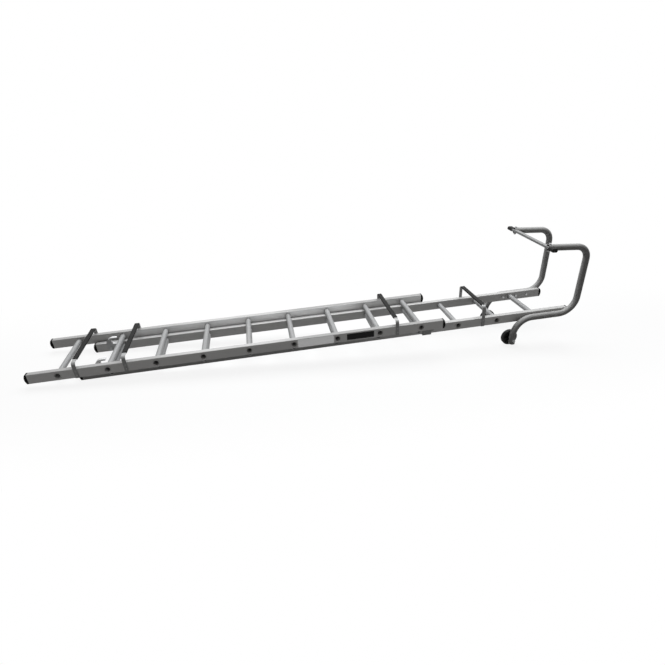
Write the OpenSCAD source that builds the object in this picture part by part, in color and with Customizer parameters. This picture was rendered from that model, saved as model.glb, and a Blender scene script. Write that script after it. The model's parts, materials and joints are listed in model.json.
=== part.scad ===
// Two-section extending roof ladder with a ridge hook, lying on its wheels with the roof bearers up.
// Sizes are in millimetres. The pieces are drawn in the ladder's own frame: X runs up the ladder from
// the base section's first rung, Y runs across it and Z stands off the underside of the base stiles.
// lying() then tips the whole ladder onto its wheels and its lower end.

/* [Ladder] */
// Distance from rung to rung
rung_pitch = 250; // [220:5:300]
// Rungs in the base section
base_rung_count = 9; // [9:1:12]
// Rungs in the hook section
hook_rung_count = 11; // [10:1:14]
// Base section, outside to outside of its stiles
base_width = 410; // [380:1:480]
// Gap between the base stile and the hook stile that slides beside it
section_gap = 10; // [8:0.5:20]
// Running gap between the base rungs and the hook stiles under them
slide_gap = 0.5; // [0.3:0.1:2]

/* [Stiles] */
// Height of the box stile
stile_h = 55; // [50:1:80]
// Thickness of the box stile
stile_t = 30; // [26:1:40]
// Wall of the box stile
stile_wall = 2; // [1.5:0.1:3]
// Outside corner radius of the box stile
stile_corner = 3; // [2:0.5:5]
// Base stile past its first rung
base_low_overhang = 147; // [60:1:200]
// Base stile past its last rung
base_high_overhang = 133; // [90:1:200]
// Hook stile past its first rung
hook_low_overhang = 153; // [105:1:200]
// Hook stile past its last rung
hook_high_overhang = 212; // [160:1:260]

/* [Rungs] */
// Outside diameter of the rung
rung_d = 30; // [25:0.5:34]
// Wall of the rung tube
rung_wall = 2; // [1.5:0.1:3]
// Lip rolled over the stile's outside face
rung_lip_t = 1.2; // [0.8:0.1:2]
// How far the lip and the inside bead stand out round the rung
rung_swage = 2; // [1:0.1:3]
// Width of the bead against the stile's inside face
rung_bead_w = 3; // [2:0.5:6]
// Grip grooves round the rung
grip_count = 16; // [8:2:24]
// Depth of a grip groove
grip_depth = 0.6; // [0.3:0.1:1]
// Width of a grip groove
grip_w = 2; // [1:0.1:3]

/* [End caps] */
// Cap length at mid height, outside the stile
cap_bulge = 16; // [11:0.5:22]
// Cap length at its top and bottom edges
cap_edge = 8; // [4:0.5:10]
// Length of the plug inside the stile
cap_plug = 22; // [15:1:35]
// Clearance of the plug in the stile
cap_fit = 0.1; // [0.05:0.05:0.4]

/* [Bearers] */
// Height of the rubber bearing face above the base stiles
bearer_rise = 42; // [30:1:60]
// Width of the flat strip
strap_w = 20; // [14:1:30]
// Thickness of the flat strip
strap_t = 3; // [2:0.5:5]
// Inside bend radius of the strip
strap_bend = 16; // [10:1:22]
// Distance of the lower two bearers past their rungs
bearer_past_rung = 93; // [60:1:150]
// Distance of the base's upper bearer past the rung before the last
upper_bearer_past_rung = 103; // [60:1:150]
// Distance of the hook section's bearer below the rung before the last
ridge_bearer_below_rung = 92; // [60:1:150]
// Rubber over the strip, above and below
sleeve_cover = 3.5; // [2:0.5:6]
// Rubber past the strip's edges
sleeve_side = 2.5; // [2:0.5:6]
// Bare strip between the rubber and the bend
sleeve_end_gap = 4; // [0:0.5:20]
// More bare strip at the right end of the base section's bearers
sleeve_bare = 20; // [0:1:40]

/* [Stay hooks] */
// Thickness of the cast hook across the ladder
stay_t = 20; // [12:1:30]
// Distance from the hook's seat to the rung that it catches, at rest
stay_travel = 40; // [25:1:60]
// Clearance of the hook's seat round the rung
stay_fit = 1; // [0.5:0.1:2]
// Thickness of the hook's lip
stay_lip_t = 9.5; // [6:0.5:14]
// Length of the lip past the seat's centre
stay_lip = 18; // [8:1:24]
// Length of the hook's back, from the seat's centre
stay_back = 45; // [40:1:55]
// Depth of the hook's plate on the stile
stay_plate_h = 43; // [36:1:48]

/* [Guide brackets] */
// Length along the stile
guide_l = 54; // [30:1:90]
// Distance past the base's last rung
guide_past_rung = 22; // [18:1:40]
// Thickness of the bracket
guide_t = 4; // [3:0.5:6]
// Side clearance to the hook stile
guide_side_gap = 3; // [2:0.5:4]
// Clearance under the hook stile
guide_low_gap = 1; // [0.5:0.1:2]
// Width of the foot under the hook stile
guide_foot_w = 20; // [10:1:26]

/* [Ridge hook] */
// Outside diameter of the bent tube
tube_d = 38; // [30:1:42]
// Wall of the bent tube
tube_wall = 2; // [1.5:0.1:4]
// Distance from the last rung to the upright
hook_reach = 252; // [235:1:300]
// Height of the top leg above the straight leg, at the upright
hook_height = 420; // [330:1:480]
// Depth of the hook, from the upright to the ridge bar
hook_depth = 247; // [160:1:320]
// Lean of the upright away from the ladder, in degrees
hook_lean = 1.2; // [0:0.1:10]
// Rise of the top leg towards the ridge bar, in degrees
hook_rise = 4.5; // [0:0.5:10]
// Bend radius at the foot of the upright, to the tube's axis
foot_bend = 105; // [70:1:110]
// Bend radius at the head of the upright, to the tube's axis
head_bend = 78; // [55:1:90]
// Bend radius above the wheel, to the tube's axis
wheel_bend = 112; // [80:1:125]
// Distance of the wheel leg below the last rung, along the ladder
wheel_leg_back = 141; // [120:1:150]
// Tube end below the wheel's axle
tube_tail = 26; // [20:1:40]
// Width of the ridge bar
bar_w = 25; // [20:1:40]
// Thickness of the ridge bar
bar_t = 12; // [8:0.5:16]
// Ridge bar past the tubes, each side
bar_past_tube = 37; // [36:1:100]
// Rubber round the ridge bar's ends
bar_rubber = 5; // [3:0.5:8]
// Front of the ridge bar past the tubes' ends
bar_front = 8; // [0:0.5:9]
// Clearance of the ridge bar in the tube's slot
bar_fit = 0.1; // [0.05:0.05:0.3]
// Lowest tube bolt below the last rung
low_bolt_below_rung = 50; // [40:1:60]
// Middle tube bolt past the last rung
mid_bolt_past_rung = 44; // [30:1:60]
// Highest tube bolt past the last rung
high_bolt_past_rung = 120; // [100:1:130]

/* [Wheels] */
// Wheel diameter
wheel_d = 100; // [80:1:110]
// Width of the tread
tread_w = 24; // [15:1:30]
// Length of the hub
hub_l = 38; // [32:0.5:50]
// Diameter of the hub
hub_d = 30; // [24:1:40]
// Thickness of the wheel's disc
wheel_web = 9; // [6:0.5:12]
// Depth of the wheel's rim
wheel_rim = 11; // [8:0.5:14]
// Depth of the axle below the straight leg's axis
axle_drop = 142; // [135:1:165]
// Axle diameter
axle_d = 10; // [8:0.5:14]
// Running clearance of the wheel on the axle, in radius
axle_clearance = 0.05; // [0.02:0.01:0.1]

/* [Fasteners] */
// Clearance of a bolt, rivet or rung in its hole, in radius
hole_fit = 0.05; // [0.02:0.01:0.2]
// Rivet diameter
rivet_d = 6; // [4:0.5:8]
// Rivet head diameter
rivet_head_d = 11; // [8:0.5:16]
// Rivet head height
rivet_head_h = 2.5; // [1.5:0.1:4]
// Bolt diameter
bolt_d = 8; // [6:0.5:10]
// Bolt head across its corners
bolt_head_d = 15; // [11:0.5:18]
// Bolt head height
bolt_head_h = 5.5; // [3:0.5:8]

/* [Hidden] */
$fn = 64;
LEFT = 1;
RIGHT = -1;
cut = 1;

// Sections
base_low_end = -base_low_overhang;
base_high_end = (base_rung_count - 1) * rung_pitch + base_high_overhang;
base_length = base_high_end - base_low_end;
base_stile_y = base_width / 2 - stile_t / 2;
hook_width = base_width - 2 * stile_t - 2 * section_gap;
hook_stile_y = hook_width / 2 - stile_t / 2;
hook_first_x = rung_pitch;
hook_last_x = hook_first_x + (hook_rung_count - 1) * rung_pitch;
hook_low_end = hook_first_x - hook_low_overhang;
hook_high_end = hook_last_x + hook_high_overhang;
hook_length = hook_high_end - hook_low_end;
base_rung_z = stile_h / 2;
hook_top_z = base_rung_z - rung_d / 2 - slide_gap;
hook_low_z = hook_top_z - stile_h;
hook_rung_z = hook_low_z + stile_h / 2;
cap_dome_r = (pow(stile_h / 2, 2) + pow(cap_bulge - cap_edge, 2)) / (2 * (cap_bulge - cap_edge));
function base_rung_x(i) = (i - 1) * rung_pitch;
function hook_rung_x(i) = hook_first_x + (i - 1) * rung_pitch;

// Bearers
bearer_z = stile_h + bearer_rise;
strap_top_z = bearer_z - sleeve_cover;
base_bearer_x = [
    base_rung_x(1) + bearer_past_rung,
    base_rung_x(2) + bearer_past_rung,
    base_rung_x(base_rung_count - 1) + upper_bearer_past_rung,
];
ridge_bearer_x = hook_rung_x(hook_rung_count - 1) - ridge_bearer_below_rung;
sleeve_slot_fit = 0.1;
sleeve_corner = 2;
strap_rivet_z = [stile_h * 0.28, stile_h * 0.72];

// Stay hooks
stay_seat_x = rung_pitch - stay_travel;
stay_seat_r = rung_d / 2 + stay_fit;
stay_y = hook_width / 2 - stile_t;
stay_top_z = base_rung_z + stay_seat_r + stay_lip_t;
stay_plate_low = hook_top_z - stay_plate_h;
stay_heel_x = stay_seat_x - stay_back;
stay_round_r = stay_top_z - hook_top_z;
stay_round_x = stay_heel_x + stay_round_r;
stay_inset = 4;
stay_nose_x = stay_seat_x + stay_lip - stay_lip_t / 2;
stay_bolt_x = [stay_heel_x + stay_inset + bolt_head_d, stay_seat_x];
stay_bolt_z = hook_rung_z;

// Guide brackets
guide_x = base_rung_x(base_rung_count) + guide_past_rung;
guide_web_y = hook_width / 2 + guide_side_gap;
guide_foot_z = hook_low_z - guide_low_gap;
guide_rivet_x = [guide_x + rivet_head_d, guide_x + guide_l - rivet_head_d];

// Ridge hook: points and directions as [x, z]
tube_r = tube_d / 2;
tube_y = hook_width / 2 + rung_lip_t + tube_r;
bend_thin = 0.15;
bend_lap = 0.2;
straight_z = hook_rung_z;
upright_x = hook_last_x + hook_reach;
foot_turn = 90 - hook_lean;
foot_tangent = foot_bend * tan(foot_turn / 2);
head_turn = 90 + hook_lean - hook_rise;
head_tangent = head_bend * tan(head_turn / 2);
upright_dir = [sin(hook_lean), cos(hook_lean)];
out_dir = [cos(hook_lean), -sin(hook_lean)];
top_dir = [-cos(hook_rise), sin(hook_rise)];
wheel_x = hook_last_x - wheel_leg_back;
axle_z = straight_z - axle_drop;
tail_z = axle_z - tube_tail;
wheel_leg_l = straight_z - wheel_bend - tail_z;
foot_bend_c = [upright_x - foot_tangent, straight_z + foot_bend];
straight_l = foot_bend_c.x - wheel_x - wheel_bend;
upright_l = hook_height / cos(hook_lean) - foot_tangent - head_tangent;
head_bend_c = foot_bend_c + (foot_bend - head_bend) * out_dir + upright_l * upright_dir;
top_l = hook_depth - head_tangent;
bar_end = [upright_x, straight_z] + hook_height / cos(hook_lean) * upright_dir + hook_depth * top_dir;
bar_l = 2 * (tube_y + tube_r + bar_past_tube);
tube_bolt_x = [
    hook_last_x - low_bolt_below_rung,
    hook_last_x + mid_bolt_past_rung,
    hook_last_x + high_bolt_past_rung,
];
bar_seat = bar_w - bar_front;
bar_hole_x = -bar_seat / 2;
bar_rubber_corner = 0.4 * (bar_t + 2 * bar_rubber);

// Wheels
wheel_r = wheel_d / 2;
hub_gap = 0.5;
hub_out_y = tube_y - tube_r - hub_gap;
hub_in_y = hub_out_y - hub_l;
tread_in = (hub_l - tread_w) / 2;
rim_round = 4;
nut_gap = 0.4;
rib_t = 4;
rib_count = 6;
rib_sunk = 1.5;
rib_l = wheel_r - wheel_rim - hub_d / 2 + 2 * cut;

// Lying attitude: the floor touches the wheels and the lower edge of the hook section's end caps
rest_x = hook_low_end - cap_edge;
rest_reach = [wheel_x - rest_x, hook_low_z - axle_z];
lie_angle = atan2(rest_reach.y, rest_reach.x) + asin(wheel_r / norm(rest_reach));
function lying_x(x, z) = (x - rest_x) * cos(lie_angle) - (z - hook_low_z) * sin(lie_angle);
left_most = lying_x(base_low_end - cap_bulge, stile_h / 2);
right_low = lying_x(foot_bend_c.x, foot_bend_c.y) + foot_bend + tube_r;
right_top = lying_x(head_bend_c.x, head_bend_c.y) + (head_bend + tube_r) * cos(lie_angle - hook_lean);
mid_x = (left_most + max(right_low, right_top)) / 2;

// Tips the ladder onto its wheels, with the floor at Z = 0 and the middle of its length at X = 0
module lying() {
    translate([-mid_x, 0, 0])
        rotate([0, -lie_angle, 0])
            translate([-rest_x, 0, -hook_low_z])
                children();
}

// Extrudes a Y, Z profile along X
module along_x(length) {
    rotate([90, 0, 90])
        linear_extrude(length)
            children();
}

// Extrudes an X, Z profile along Y from y_from
module along_y(y_from, length) {
    translate([0, y_from + length, 0])
        rotate([90, 0, 0])
            linear_extrude(length)
                children();
}

// Round bar along Y between two places
module pin_y(d, y_from, y_to) {
    translate([0, y_from, 0])
        rotate([-90, 0, 0])
            cylinder(d = d, h = y_to - y_from);
}

// Six-sided head along Y between two places
module hex_y(d, y_from, y_to) {
    translate([0, y_from, 0])
        rotate([-90, 0, 0])
            cylinder(d = d, h = y_to - y_from, $fn = 6);
}

// Rectangle with round corners, centred
module rounded_rect(w, h, r) {
    square([w - 2 * r, h], center = true);
    square([w, h - 2 * r], center = true);
    for (x = [-1, 1], y = [-1, 1])
        translate([x * (w / 2 - r), y * (h / 2 - r)])
            circle(r);
}

// Hollow box stile from X = 0, centred on Y, with its underside at Z = 0
module stile(length) {
    translate([0, 0, stile_h / 2])
        along_x(length)
            difference() {
                rounded_rect(stile_t, stile_h, stile_corner);
                square([stile_t - 2 * stile_wall, stile_h - 2 * stile_wall], center = true);
            }
}

// Hole along Y through everything
module hole_y(d) {
    pin_y(d + 2 * hole_fit, -base_width, base_width);
}

// Hole along Y from the ladder's middle to one side only
module side_hole_y(d, side) {
    mirror([0, side == LEFT ? 0 : 1, 0])
        pin_y(d + 2 * hole_fit, 0, base_width);
}

module base_stile(side) {
    color("silver")
        difference() {
            translate([base_low_end, side * base_stile_y, 0])
                stile(base_length);
            for (i = [1:base_rung_count])
                translate([base_rung_x(i), 0, base_rung_z])
                    hole_y(rung_d);
            for (x = base_bearer_x, z = strap_rivet_z)
                translate([x, side * base_stile_y, z])
                    side_hole_y(rivet_d, side);
            for (x = guide_rivet_x)
                translate([x, side * base_stile_y, -cut])
                    cylinder(d = rivet_d + 2 * hole_fit, h = stile_wall + 2 * cut);
        }
}

module hook_stile(side) {
    color("silver")
        difference() {
            translate([hook_low_end, side * hook_stile_y, hook_low_z])
                stile(hook_length);
            for (i = [1:hook_rung_count])
                translate([hook_rung_x(i), 0, hook_rung_z])
                    hole_y(rung_d);
            for (z = strap_rivet_z)
                translate([ridge_bearer_x, side * hook_stile_y, hook_low_z + z])
                    side_hole_y(rivet_d, side);
            for (x = stay_bolt_x)
                translate([x, 0, stay_bolt_z])
                    hole_y(bolt_d);
            for (x = tube_bolt_x)
                translate([x, 0, straight_z])
                    hole_y(bolt_d);
        }
}

// Grooved tube through both stiles, with a lip outside and a bead inside each stile
module rung(width) {
    inside = width / 2 - stile_t - rung_bead_w;
    end = width / 2 + rung_lip_t;
    swage_d = rung_d + 2 * rung_swage;
    color("lightgray")
        difference() {
            union() {
                pin_y(rung_d, -end, end);
                for (side = [LEFT, RIGHT])
                    mirror([0, side == LEFT ? 0 : 1, 0]) {
                        pin_y(swage_d, width / 2, end);
                        pin_y(swage_d, inside, inside + rung_bead_w);
                    }
            }
            pin_y(rung_d - 2 * rung_wall, -end - cut, end + cut);
            along_y(-inside, 2 * inside)
                for (i = [0:grip_count - 1])
                    rotate(360 * i / grip_count)
                        translate([rung_d / 2 - grip_depth, -grip_w / 2])
                            square([2 * grip_depth, grip_w]);
        }
}

module base_rung(i) {
    translate([base_rung_x(i), 0, base_rung_z])
        rung(base_width);
}

module hook_rung(i) {
    translate([hook_rung_x(i), 0, hook_rung_z])
        rung(hook_width);
}

// Moulded cap for a stile that ends at X = 0 and lies towards +X, with a domed outer end
module end_cap() {
    plug_t = stile_t - 2 * stile_wall - 2 * cap_fit;
    plug_h = stile_h - 2 * stile_wall - 2 * cap_fit;
    color([0.1, 0.1, 0.1])
        translate([0, 0, stile_h / 2]) {
            intersection() {
                translate([-cap_bulge, 0, 0])
                    along_x(cap_bulge)
                        rounded_rect(stile_t, stile_h, stile_corner);
                translate([cap_dome_r - cap_bulge, 0, 0])
                    pin_y(2 * cap_dome_r, -stile_t, stile_t);
            }
            difference() {
                translate([0, -plug_t / 2, -plug_h / 2])
                    cube([cap_plug, plug_t, plug_h]);
                translate([stile_wall, -plug_t / 2 + stile_wall, -plug_h / 2 + stile_wall])
                    cube([cap_plug, plug_t - 2 * stile_wall, plug_h - 2 * stile_wall]);
            }
        }
}

module base_cap(side, upper) {
    translate([upper ? base_high_end : base_low_end, side * base_stile_y, 0])
        mirror([upper ? 1 : 0, 0, 0])
            end_cap();
}

module hook_cap(side, upper) {
    translate([upper ? hook_high_end : hook_low_end, side * hook_stile_y, hook_low_z])
        mirror([upper ? 1 : 0, 0, 0])
            end_cap();
}

// Rectangle standing on the Y axis, with its two upper corners rounded
module arch(w, h, r) {
    translate([-w / 2, 0])
        square([w, h - r]);
    translate([-w / 2 + r, 0])
        square([w - 2 * r, h]);
    for (side = [LEFT, RIGHT])
        translate([side * (w / 2 - r), h - r])
            circle(r);
}

// Flat strip bent over a section of the given width, its feet at low_z
module bearer_strap(x, width, low_z) {
    height = strap_top_z - low_z;
    color("gainsboro")
        difference() {
            translate([x - strap_w / 2, 0, low_z])
                along_x(strap_w)
                    difference() {
                        arch(width + 2 * strap_t, height, strap_bend + strap_t);
                        translate([0, -cut])
                            arch(width, height - strap_t + cut, strap_bend);
                    }
            for (z = strap_rivet_z)
                translate([x, 0, low_z + z])
                    hole_y(rivet_d);
        }
}

// Rubber sleeve on the strip's crossbar, with bare more of the strip left free at its right end
module bearer_rubber(width, bare) {
    left_end = width / 2 - strap_bend - sleeve_end_gap;
    color([0.12, 0.12, 0.12])
        along_y(bare - left_end, 2 * left_end - bare)
            difference() {
                rounded_rect(strap_w + 2 * sleeve_side, strap_t + 2 * sleeve_cover, sleeve_corner);
                square([strap_w + 2 * sleeve_slot_fit, strap_t + 2 * sleeve_slot_fit], center = true);
            }
}

module base_bearer_rubber(i) {
    translate([base_bearer_x[i], 0, strap_top_z - strap_t / 2])
        bearer_rubber(base_width, sleeve_bare);
}

module ridge_bearer_rubber() {
    translate([ridge_bearer_x, 0, strap_top_z - strap_t / 2])
        bearer_rubber(hook_width, 0);
}

// Domed rivet along Z: the head stands on Z = 0 and the shank reaches grip below it
module rivet(grip) {
    color("gray") {
        translate([0, 0, -grip])
            cylinder(d = rivet_d, h = grip);
        cylinder(d1 = rivet_head_d, d2 = rivet_head_d - 2 * rivet_head_h, h = rivet_head_h);
    }
}

// The four rivets of one bearer, in the stiles' outside faces
module strap_rivets(x, width, low_z) {
    for (side = [LEFT, RIGHT], z = strap_rivet_z)
        translate([x, side * (width / 2 + strap_t), low_z + z])
            rotate([-90 * side, 0, 0])
                rivet(strap_t + stile_wall);
}

module bearer_rivets() {
    for (x = base_bearer_x)
        strap_rivets(x, base_width, 0);
}

module ridge_bearer_rivets() {
    strap_rivets(ridge_bearer_x, hook_width, hook_low_z);
}

// Bracket under the base stile that passes down beside the hook stile and under it
module guide_bracket(side) {
    color("silver")
        mirror([0, side == LEFT ? 0 : 1, 0])
            difference() {
                translate([guide_x, 0, 0])
                    along_x(guide_l)
                        union() {
                            translate([guide_web_y, -guide_t])
                                square([base_width / 2 - guide_web_y, guide_t]);
                            translate([guide_web_y, guide_foot_z - guide_t])
                                square([guide_t, guide_t - guide_foot_z]);
                            translate([guide_web_y - guide_foot_w, guide_foot_z - guide_t])
                                square([guide_foot_w + guide_t, guide_t]);
                        }
                for (x = guide_rivet_x)
                    translate([x, base_stile_y, -guide_t - cut])
                        cylinder(d = rivet_d + 2 * hole_fit, h = guide_t + 2 * cut);
            }
}

module guide_rivets() {
    for (side = [LEFT, RIGHT], x = guide_rivet_x)
        translate([x, side * base_stile_y, -guide_t])
            rotate([180, 0, 0])
                rivet(guide_t + stile_wall);
}

// Cast hook on the inside of the hook stile, open towards the upper end
module stay_hook(side) {
    color("silver")
        mirror([0, side == LEFT ? 0 : 1, 0])
            difference() {
                along_y(stay_y - stay_t, stay_t)
                    difference() {
                        union() {
                            intersection() {
                                translate([stay_round_x, hook_top_z])
                                    circle(stay_round_r);
                                translate([stay_heel_x, stay_plate_low])
                                    square([stay_back, stay_top_z - stay_plate_low]);
                            }
                            translate([stay_heel_x + stay_inset, stay_plate_low])
                                square([stay_back - stay_inset + stay_lip, hook_top_z - slide_gap - stay_plate_low]);
                            translate([stay_round_x, stay_plate_low])
                                square([stay_nose_x - stay_round_x, stay_top_z - stay_plate_low]);
                            translate([stay_nose_x, stay_top_z - stay_lip_t / 2])
                                circle(d = stay_lip_t);
                        }
                        translate([stay_seat_x, base_rung_z])
                            circle(stay_seat_r);
                        translate([stay_seat_x, base_rung_z - stay_seat_r])
                            square([rung_pitch, 2 * stay_seat_r]);
                    }
                for (x = stay_bolt_x)
                    translate([x, 0, stay_bolt_z])
                        hole_y(bolt_d);
            }
}

module stay_hook_bolts() {
    inside = stay_y - stay_t;
    outside = hook_width / 2;
    color("gray")
        for (side = [LEFT, RIGHT], x = stay_bolt_x)
            translate([x, 0, stay_bolt_z])
                mirror([0, side == LEFT ? 0 : 1, 0]) {
                    hex_y(bolt_head_d, inside - bolt_head_h, inside);
                    pin_y(bolt_d, inside - cut, outside + cut);
                    pin_y(rivet_head_d, outside, outside + rivet_head_h);
                }
}

// Cross-section of the bent tube, its wall thinner by thin on each face
module tube_ring(thin) {
    difference() {
        circle(tube_r - thin);
        circle(tube_r - tube_wall + thin);
    }
}

// Straight length of the tube along Z, lapping the bends at its two ends
module tube_run(length, start_lap, end_lap) {
    translate([0, 0, -start_lap])
        linear_extrude(length + start_lap + end_lap)
            tube_ring(0);
}

// Bend of the tube about the Y axis, angles measured from X towards Z
module tube_bend(radius, from, sweep) {
    rotate([90, 0, 0])
        rotate(from)
            rotate_extrude(angle = sweep)
                translate([radius, 0])
                    tube_ring(bend_thin);
}

// From the centre of the foot's bend: the bend, the leaning upright, the head's bend and the top leg
module hook_end() {
    tube_bend(foot_bend, -90, foot_turn);
    rotate([0, hook_lean, 0])
        translate([foot_bend, 0, 0]) {
            tube_run(upright_l, bend_lap, bend_lap);
            translate([-head_bend, 0, upright_l]) {
                tube_bend(head_bend, 0, head_turn);
                rotate([0, -head_turn, 0])
                    translate([head_bend, 0, 0])
                        tube_run(top_l + bar_seat, bend_lap, 0);
            }
        }
}

// From the lower end of the straight leg: the leg, the bend above the wheel and the wheel leg
module wheel_end() {
    rotate([0, 90, 0])
        tube_run(straight_l, bend_lap, bend_lap);
    translate([0, 0, -wheel_bend]) {
        tube_bend(wheel_bend, 90, 90);
        translate([-wheel_bend, 0, 0])
            rotate([180, 0, 0])
                tube_run(wheel_leg_l, bend_lap, 0);
    }
}

module ridge_hook_tube(side) {
    color("darkgray")
        translate([0, side * tube_y, 0])
            difference() {
                translate([foot_bend_c.x, 0, foot_bend_c.y]) {
                    hook_end();
                    translate([-straight_l, 0, -foot_bend])
                        wheel_end();
                }
                for (x = tube_bolt_x)
                    translate([x, 0, straight_z])
                        hole_y(bolt_d);
                translate([wheel_x, 0, axle_z])
                    hole_y(axle_d);
                at_bar() {
                    translate([-bar_seat - cut, -tube_d, -bar_t / 2 - bar_fit])
                        cube([bar_seat + cut, 2 * tube_d, bar_t + 2 * bar_fit]);
                    bar_hole();
                }
            }
}

// Bolts through the hook stile and the tube beside it, heads inside
module ridge_hook_bolts() {
    inside = hook_width / 2 - stile_t;
    outside = tube_y + tube_r;
    color("gray")
        for (side = [LEFT, RIGHT], x = tube_bolt_x)
            translate([x, 0, straight_z])
                mirror([0, side == LEFT ? 0 : 1, 0]) {
                    hex_y(bolt_head_d, inside - bolt_head_h, inside);
                    pin_y(bolt_d, inside - cut, outside + cut);
                    pin_y(bolt_head_d, outside, outside + rivet_head_h);
                }
}

// Frame of the ridge bar: the tube ends meet its back at X = 0 and the bar lies towards -X
module at_bar() {
    translate([bar_end.x, 0, bar_end.y])
        rotate([0, hook_rise, 0])
            children();
}

// Hole for the bolt that holds the ridge bar in one tube end
module bar_hole() {
    translate([bar_hole_x, 0, -tube_d])
        cylinder(d = bolt_d + 2 * hole_fit, h = 2 * tube_d);
}

module ridge_bar() {
    color("silver")
        at_bar()
            difference() {
                translate([-bar_w, -bar_l / 2, -bar_t / 2])
                    cube([bar_w, bar_l, bar_t]);
                for (side = [LEFT, RIGHT])
                    translate([0, side * tube_y, 0])
                        bar_hole();
            }
}

// Bolts down through the tube ends and the ridge bar, with nuts below
module ridge_bar_bolts() {
    color("gray")
        at_bar()
            for (side = [LEFT, RIGHT])
                translate([bar_hole_x, side * tube_y, 0]) {
                    translate([0, 0, tube_r])
                        cylinder(d = bolt_head_d, h = bolt_head_h, $fn = 6);
                    translate([0, 0, -tube_r - bolt_head_h])
                        cylinder(d = bolt_d, h = 2 * tube_r + bolt_head_h + cut);
                    translate([0, 0, -tube_r - bolt_head_h])
                        cylinder(d = bolt_head_d, h = bolt_head_h, $fn = 6);
                }
}

// Rubber sleeve on one end of the ridge bar, closed at the end
module ridge_bar_rubber(side) {
    inner = tube_y + tube_r + hub_gap;
    length = bar_l / 2 - inner + bar_rubber;
    color([0.1, 0.1, 0.1])
        at_bar()
            mirror([0, side == LEFT ? 0 : 1, 0])
                difference() {
                    along_y(inner, length)
                        translate([-bar_w / 2, 0])
                            rounded_rect(bar_w + 2 * bar_rubber, bar_t + 2 * bar_rubber, bar_rubber_corner);
                    translate([-bar_w - sleeve_slot_fit, inner - cut, -bar_t / 2 - sleeve_slot_fit])
                        cube([bar_w + 2 * sleeve_slot_fit, bar_l / 2 - inner + cut, bar_t + 2 * sleeve_slot_fit]);
                }
}

// Axle bolt through the tube's tail, with its nut inside the wheel
module axle_bolt(side) {
    outside = tube_y + tube_r;
    inside = hub_in_y - nut_gap;
    color("gray")
        translate([wheel_x, 0, axle_z])
            mirror([0, side == LEFT ? 0 : 1, 0]) {
                hex_y(axle_d * 1.8, inside - axle_d * 0.8, inside);
                pin_y(axle_d, inside - cut, outside + cut);
                hex_y(axle_d * 1.8, outside, outside + axle_d * 0.6);
            }
}

// Half section of the moulded wheel: radius across, width up
module wheel_section() {
    translate([axle_d / 2 + axle_clearance, 0])
        square([hub_d / 2 - axle_d / 2 - axle_clearance, hub_l]);
    translate([hub_d / 2 - cut, (hub_l - wheel_web) / 2])
        square([wheel_r - hub_d / 2 - wheel_rim + 2 * cut, wheel_web]);
    translate([wheel_r - wheel_rim, tread_in])
        square([wheel_rim - rim_round, tread_w]);
    translate([wheel_r - wheel_rim, tread_in + rim_round])
        square([wheel_rim, tread_w - 2 * rim_round]);
    for (y = [rim_round, tread_w - rim_round])
        translate([wheel_r - rim_round, tread_in + y])
            circle(rim_round);
}

module wheel(side) {
    color([0.08, 0.08, 0.08])
        translate([wheel_x, 0, axle_z])
            mirror([0, side == LEFT ? 0 : 1, 0])
                translate([0, hub_in_y, 0])
                    rotate([-90, 0, 0]) {
                        rotate_extrude()
                            wheel_section();
                        for (i = [0:rib_count - 1])
                            rotate(360 * i / rib_count)
                                translate([hub_d / 2 - cut, -rib_t / 2, tread_in + rib_sunk])
                                    cube([rib_l, rib_t, tread_w - 2 * rib_sunk]);
                    }
}

lying() base_stile(LEFT);  // base_stile_left
lying() base_stile(RIGHT);  // base_stile_right
for (i = [1:base_rung_count])
    lying() base_rung(i);
lying() base_cap(LEFT, false);  // base_lower_cap_left
lying() base_cap(RIGHT, false);  // base_lower_cap_right
lying() base_cap(LEFT, true);  // base_upper_cap_left
lying() base_cap(RIGHT, true);  // base_upper_cap_right
lying() bearer_strap(base_bearer_x[0], base_width, 0);  // lower_bearer_strap
lying() bearer_strap(base_bearer_x[1], base_width, 0);  // second_bearer_strap
lying() bearer_strap(base_bearer_x[2], base_width, 0);  // upper_bearer_strap
lying() base_bearer_rubber(0);  // lower_bearer_rubber
lying() base_bearer_rubber(1);  // second_bearer_rubber
lying() base_bearer_rubber(2);  // upper_bearer_rubber
lying() guide_bracket(LEFT);  // guide_bracket_left
lying() guide_bracket(RIGHT);  // guide_bracket_right
lying() bearer_rivets();
lying() guide_rivets();
lying() hook_stile(LEFT);  // hook_stile_left
lying() hook_stile(RIGHT);  // hook_stile_right
for (i = [1:hook_rung_count])
    lying() hook_rung(i);
lying() hook_cap(LEFT, false);  // hook_lower_cap_left
lying() hook_cap(RIGHT, false);  // hook_lower_cap_right
lying() hook_cap(LEFT, true);  // hook_upper_cap_left
lying() hook_cap(RIGHT, true);  // hook_upper_cap_right
lying() bearer_strap(ridge_bearer_x, hook_width, hook_low_z);  // ridge_bearer_strap
lying() ridge_bearer_rubber();
lying() ridge_bearer_rivets();
lying() stay_hook(LEFT);  // stay_hook_left
lying() stay_hook(RIGHT);  // stay_hook_right
lying() stay_hook_bolts();
lying() ridge_hook_tube(LEFT);  // ridge_hook_tube_left
lying() ridge_hook_tube(RIGHT);  // ridge_hook_tube_right
lying() ridge_hook_bolts();
lying() ridge_bar();
lying() ridge_bar_bolts();
lying() ridge_bar_rubber(LEFT);  // ridge_bar_rubber_left
lying() ridge_bar_rubber(RIGHT);  // ridge_bar_rubber_right
lying() axle_bolt(LEFT);  // axle_bolt_left
lying() axle_bolt(RIGHT);  // axle_bolt_right
lying() wheel(LEFT);  // wheel_left
lying() wheel(RIGHT);  // wheel_right
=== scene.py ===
"""Looks of an extending roof ladder that lies closed on its wheels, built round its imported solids."""
import json
import math

import bpy
from mathutils import Matrix, Vector


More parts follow.
